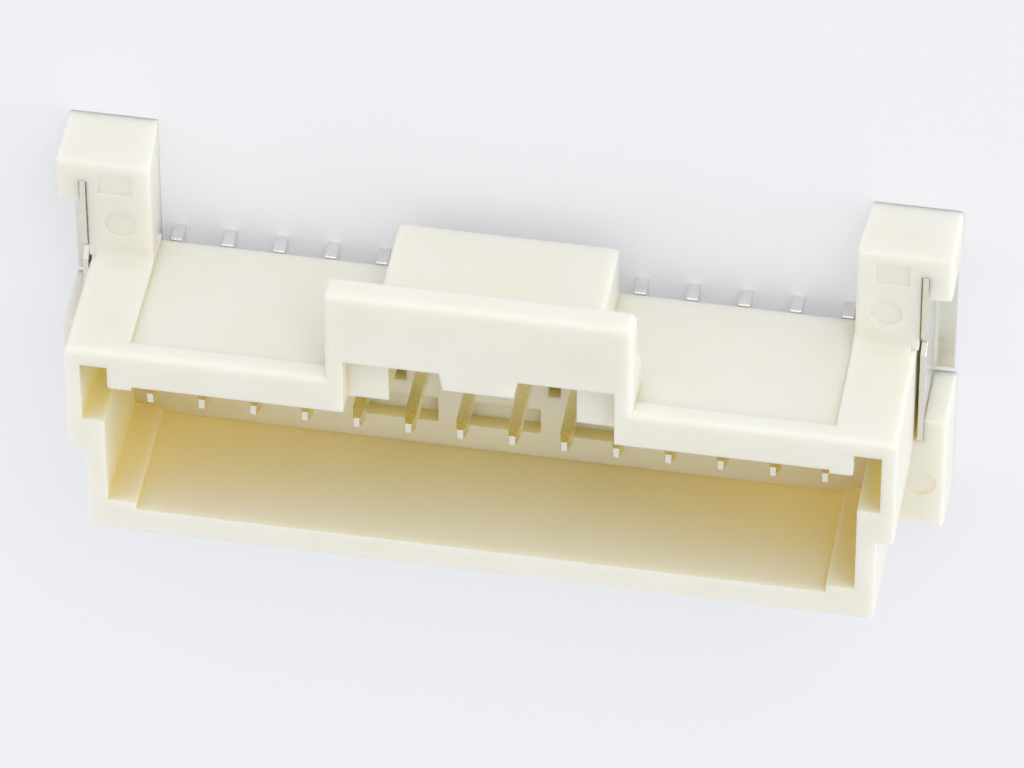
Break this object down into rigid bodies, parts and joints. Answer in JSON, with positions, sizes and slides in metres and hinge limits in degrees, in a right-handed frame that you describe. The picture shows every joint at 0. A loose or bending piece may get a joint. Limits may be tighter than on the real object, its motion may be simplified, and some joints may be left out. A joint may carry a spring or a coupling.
{
  "type": "pin header",
  "caption": "Upright shrouded board header: a long open plastic box with a locking hood, a row of straight posts with surface-mount tails, and a folded board nail at each end.",
  "frame": {"origin": "on the board plane, under the middle of the row of contacts", "axes": "+X along the row, +Y from the row towards the locking hood and the ends of the tails, +Z away from the board, the way the plug leaves"},
  "size_m": [0.0344, 0.0142, 0.0081],
  "materials": {
    "housing": "moulded cream plastic, fine satin",
    "contact": "tin plated, satin",
    "nail": "tin plated, satin"
  },
  "bodies": {
    "root": {"housing": "housing", "nail_left": "nail", "nail_right": "nail", "contact_01": "contact", "contact_02": "contact", "contact_03": "contact", "contact_04": "contact", "contact_05": "contact", "contact_06": "contact", "contact_07": "contact", "contact_08": "contact", "contact_09": "contact", "contact_10": "contact", "contact_11": "contact", "contact_12": "contact", "contact_13": "contact", "contact_14": "contact"}
  },
  "joints": []
}
